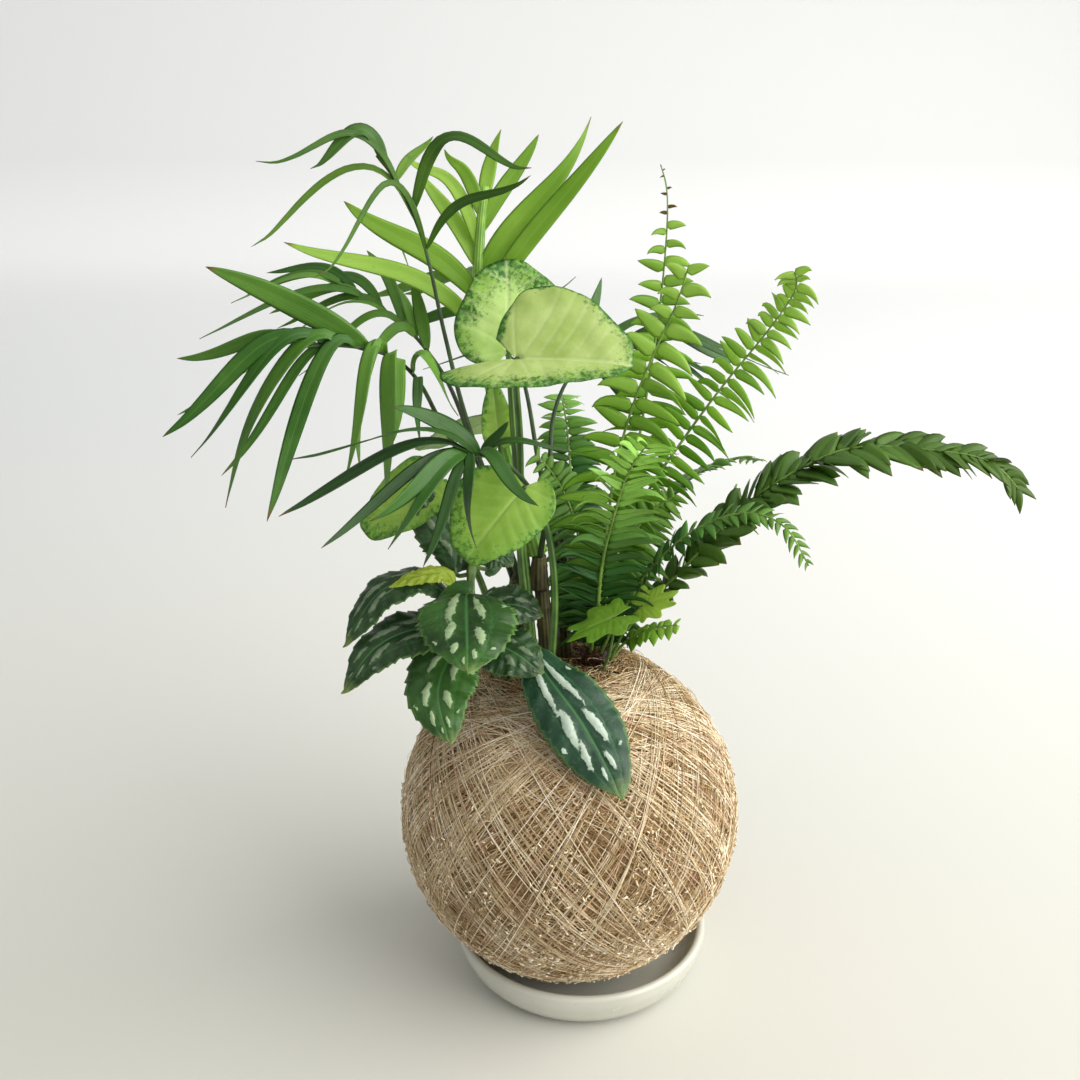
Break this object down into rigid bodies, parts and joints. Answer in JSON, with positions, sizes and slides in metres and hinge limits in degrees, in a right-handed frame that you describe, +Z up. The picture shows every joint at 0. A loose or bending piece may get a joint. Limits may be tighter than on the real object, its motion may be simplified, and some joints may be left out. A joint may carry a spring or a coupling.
{
  "type": "kokedama plant",
  "caption": "Kokedama: a twine-bound root ball planted with palm, fern, arrowhead and aluminium plant foliage, resting in a shallow white glazed saucer.",
  "frame": {"origin": "centre of the saucer's flat foot, on the surface that it stands on", "axes": "+Z up; -Y towards the side with the hanging leaf; +X towards the long arching fern frond"},
  "size_m": [0.3094, 0.1944, 0.3522],
  "materials": {
    "glazed_white": "satin",
    "twine": "matte",
    "coir": "matte",
    "soil": "matte",
    "cane": "matte",
    "palm_leaf": "satin",
    "fern_scale": "matte",
    "fern_leaf": "satin",
    "arrowhead_leaf": "satin",
    "pilea_stem": "satin",
    "pilea_leaf": "satin",
    "young_leaf": "satin"
  },
  "bodies": {
    "root": {"arrowhead_leaf_front": "arrowhead_leaf", "arrowhead_leaf_left": "arrowhead_leaf", "arrowhead_leaf_lower": "arrowhead_leaf", "arrowhead_leaf_rear": "arrowhead_leaf", "arrowhead_leaf_upper": "arrowhead_leaf", "arrowhead_leaf_young": "arrowhead_leaf", "coir_collar": "coir", "fern_crown": "fern_scale", "fern_frond_arching": "fern_leaf", "fern_frond_back": "fern_leaf", "fern_frond_bushy": "fern_leaf", "fern_frond_inner": "fern_leaf", "fern_frond_left": "fern_leaf", "fern_frond_low_rear": "fern_leaf", "fern_frond_low_right": "fern_leaf", "fern_frond_middle": "fern_leaf", "fern_frond_right": "fern_leaf", "fern_frond_short": "fern_leaf", "fern_frond_tall": "fern_leaf", "fibre_jacket": "coir", "palm_cane_left": "cane", "palm_cane_middle": "cane", "palm_cane_right": "cane", "palm_frond_front": "palm_leaf", "palm_frond_left": "palm_leaf", "palm_frond_left_rear": "palm_leaf", "palm_frond_rear": "palm_leaf", "palm_frond_right": "palm_leaf", "palm_frond_tall_bright": "palm_leaf", "palm_frond_tall_dark": "palm_leaf", "pilea_leaf_front": "pilea_leaf", "pilea_leaf_hanging": "pilea_leaf", "pilea_leaf_left": "pilea_leaf", "pilea_leaf_left_low": "pilea_leaf", "pilea_leaf_low": "pilea_leaf", "pilea_leaf_right": "pilea_leaf", "pilea_leaf_right_low": "pilea_leaf", "pilea_leaf_under": "pilea_leaf", "pilea_leaf_upright": "pilea_leaf", "pilea_leaf_yellow": "pilea_leaf", "pilea_stem": "pilea_stem", "saucer": "glazed_white", "soil_core": "soil", "twine_wrap": "twine", "young_leaf_far_right": "young_leaf", "young_leaf_right": "young_leaf"}
  },
  "joints": []
}
